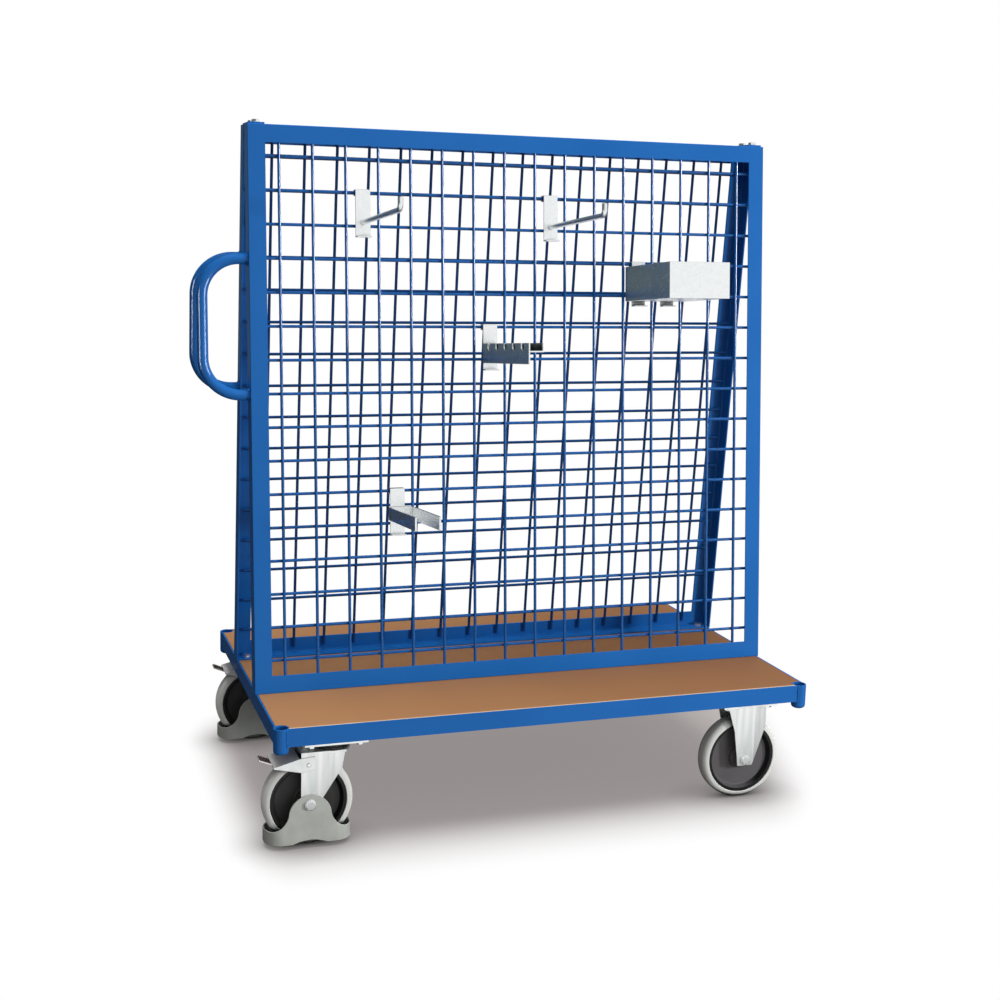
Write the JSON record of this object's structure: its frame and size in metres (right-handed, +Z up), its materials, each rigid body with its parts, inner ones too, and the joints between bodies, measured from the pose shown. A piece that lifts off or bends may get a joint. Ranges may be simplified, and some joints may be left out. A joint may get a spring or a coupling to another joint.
{
  "type": "workshop trolley",
  "caption": "Steel workshop trolley: a board deck on swivel and fixed casters with brakes and foot guards, under two leaning wire mesh panels with push handles and hung tool holders.",
  "frame": {"origin": "on the floor, at the middle of the trolley's overall length and depth", "axes": "+X along the deck away from the push handles, +Y across it towards the rear panel, +Z up"},
  "size_m": [1.4, 0.812, 1.5694],
  "materials": {
    "blue_paint": "gloss blue powder coat",
    "board_wood": "brown film faced plywood",
    "zinc_steel": "bright zinc plate",
    "galvanised": "galvanised sheet",
    "dark_steel": "oiled dark steel",
    "guard_grey": "satin grey paint",
    "rim_plastic": "moulded dark grey",
    "tyre_rubber": "non-marking grey rubber"
  },
  "bodies": {
    "chassis": {"caster_plate_bolts": "zinc_steel", "corner_gussets": "blue_paint", "corner_posts": "blue_paint", "cross_members": "blue_paint", "deck_board": "board_wood", "disc_hooks": "galvanised", "fixed_axles": "zinc_steel", "fixed_forks": "zinc_steel", "frame_nuts": "zinc_steel", "front_handle": "blue_paint", "front_mesh": "blue_paint", "front_panel_bottom_rail": "blue_paint", "front_panel_left_stile": "blue_paint", "front_panel_right_stile": "blue_paint", "front_panel_top_rail": "blue_paint", "front_rail": "blue_paint", "hammer_fork": "galvanised", "hanger_plates": "galvanised", "kingpins": "dark_steel", "left_end_rail": "blue_paint", "panel_foot_bolts": "zinc_steel", "panel_tie_bolts": "zinc_steel", "panel_tie_plates": "blue_paint", "rear_handle": "blue_paint", "rear_mesh": "blue_paint", "rear_panel_bottom_rail": "blue_paint", "rear_panel_left_stile": "blue_paint", "rear_panel_right_stile": "blue_paint", "rear_panel_top_rail": "blue_paint", "rear_rail": "blue_paint", "right_end_rail": "blue_paint", "swivel_top_plates": "zinc_steel", "tool_rack": "galvanised", "tray": "galvanised"},
    "front_left_caster": {"front_left_fork": "zinc_steel", "front_left_race_ring": "dark_steel", "front_left_axle": "zinc_steel", "front_left_foot_guard": "guard_grey", "front_left_pedal_rivets": "zinc_steel"},
    "front_left_wheel": {"front_left_rim": "rim_plastic", "front_left_tyre": "tyre_rubber", "front_left_hub_bearing": "zinc_steel"},
    "front_left_pedal": {"front_left_brake_pedal": "zinc_steel", "front_left_brake_shoe": "dark_steel"},
    "front_right_wheel": {"front_right_rim": "rim_plastic", "front_right_tyre": "tyre_rubber", "front_right_hub_bearing": "zinc_steel"},
    "rear_left_caster": {"rear_left_fork": "zinc_steel", "rear_left_race_ring": "dark_steel", "rear_left_axle": "zinc_steel", "rear_left_foot_guard": "guard_grey", "rear_left_pedal_rivets": "zinc_steel"},
    "rear_left_wheel": {"rear_left_rim": "rim_plastic", "rear_left_tyre": "tyre_rubber", "rear_left_hub_bearing": "zinc_steel"},
    "rear_left_pedal": {"rear_left_brake_pedal": "zinc_steel", "rear_left_brake_shoe": "dark_steel"},
    "rear_right_wheel": {"rear_right_rim": "rim_plastic", "rear_right_tyre": "tyre_rubber", "rear_right_hub_bearing": "zinc_steel"}
  },
  "joints": [
    {"name": "front_left_swivel", "type": "hinge", "parent": "chassis", "child": "front_left_caster", "pos_m": [-0.449, -0.346, 0.2145], "axis": [0, 0, 1], "continuous": true},
    {"name": "front_left_roll", "type": "hinge", "parent": "front_left_caster", "child": "front_left_wheel", "pos_m": [-0.503, -0.346, 0.1], "axis": [0, 1, 0], "continuous": true},
    {"name": "front_left_brake", "type": "hinge", "parent": "front_left_caster", "child": "front_left_pedal", "pos_m": [-0.507, -0.346, 0.19], "axis": [0, -1, 0], "range_deg": [0, 8]},
    {"name": "front_right_roll", "type": "hinge", "parent": "chassis", "child": "front_right_wheel", "pos_m": [0.55, -0.346, 0.1], "axis": [0, 1, 0], "continuous": true},
    {"name": "rear_left_swivel", "type": "hinge", "parent": "chassis", "child": "rear_left_caster", "pos_m": [-0.449, 0.346, 0.2145], "axis": [0, 0, 1], "continuous": true},
    {"name": "rear_left_roll", "type": "hinge", "parent": "rear_left_caster", "child": "rear_left_wheel", "pos_m": [-0.503, 0.346, 0.1], "axis": [0, 1, 0], "continuous": true},
    {"name": "rear_left_brake", "type": "hinge", "parent": "rear_left_caster", "child": "rear_left_pedal", "pos_m": [-0.507, 0.346, 0.19], "axis": [0, -1, 0], "range_deg": [0, 8]},
    {"name": "rear_right_roll", "type": "hinge", "parent": "chassis", "child": "rear_right_wheel", "pos_m": [0.55, 0.346, 0.1], "axis": [0, 1, 0], "continuous": true}
  ]
}
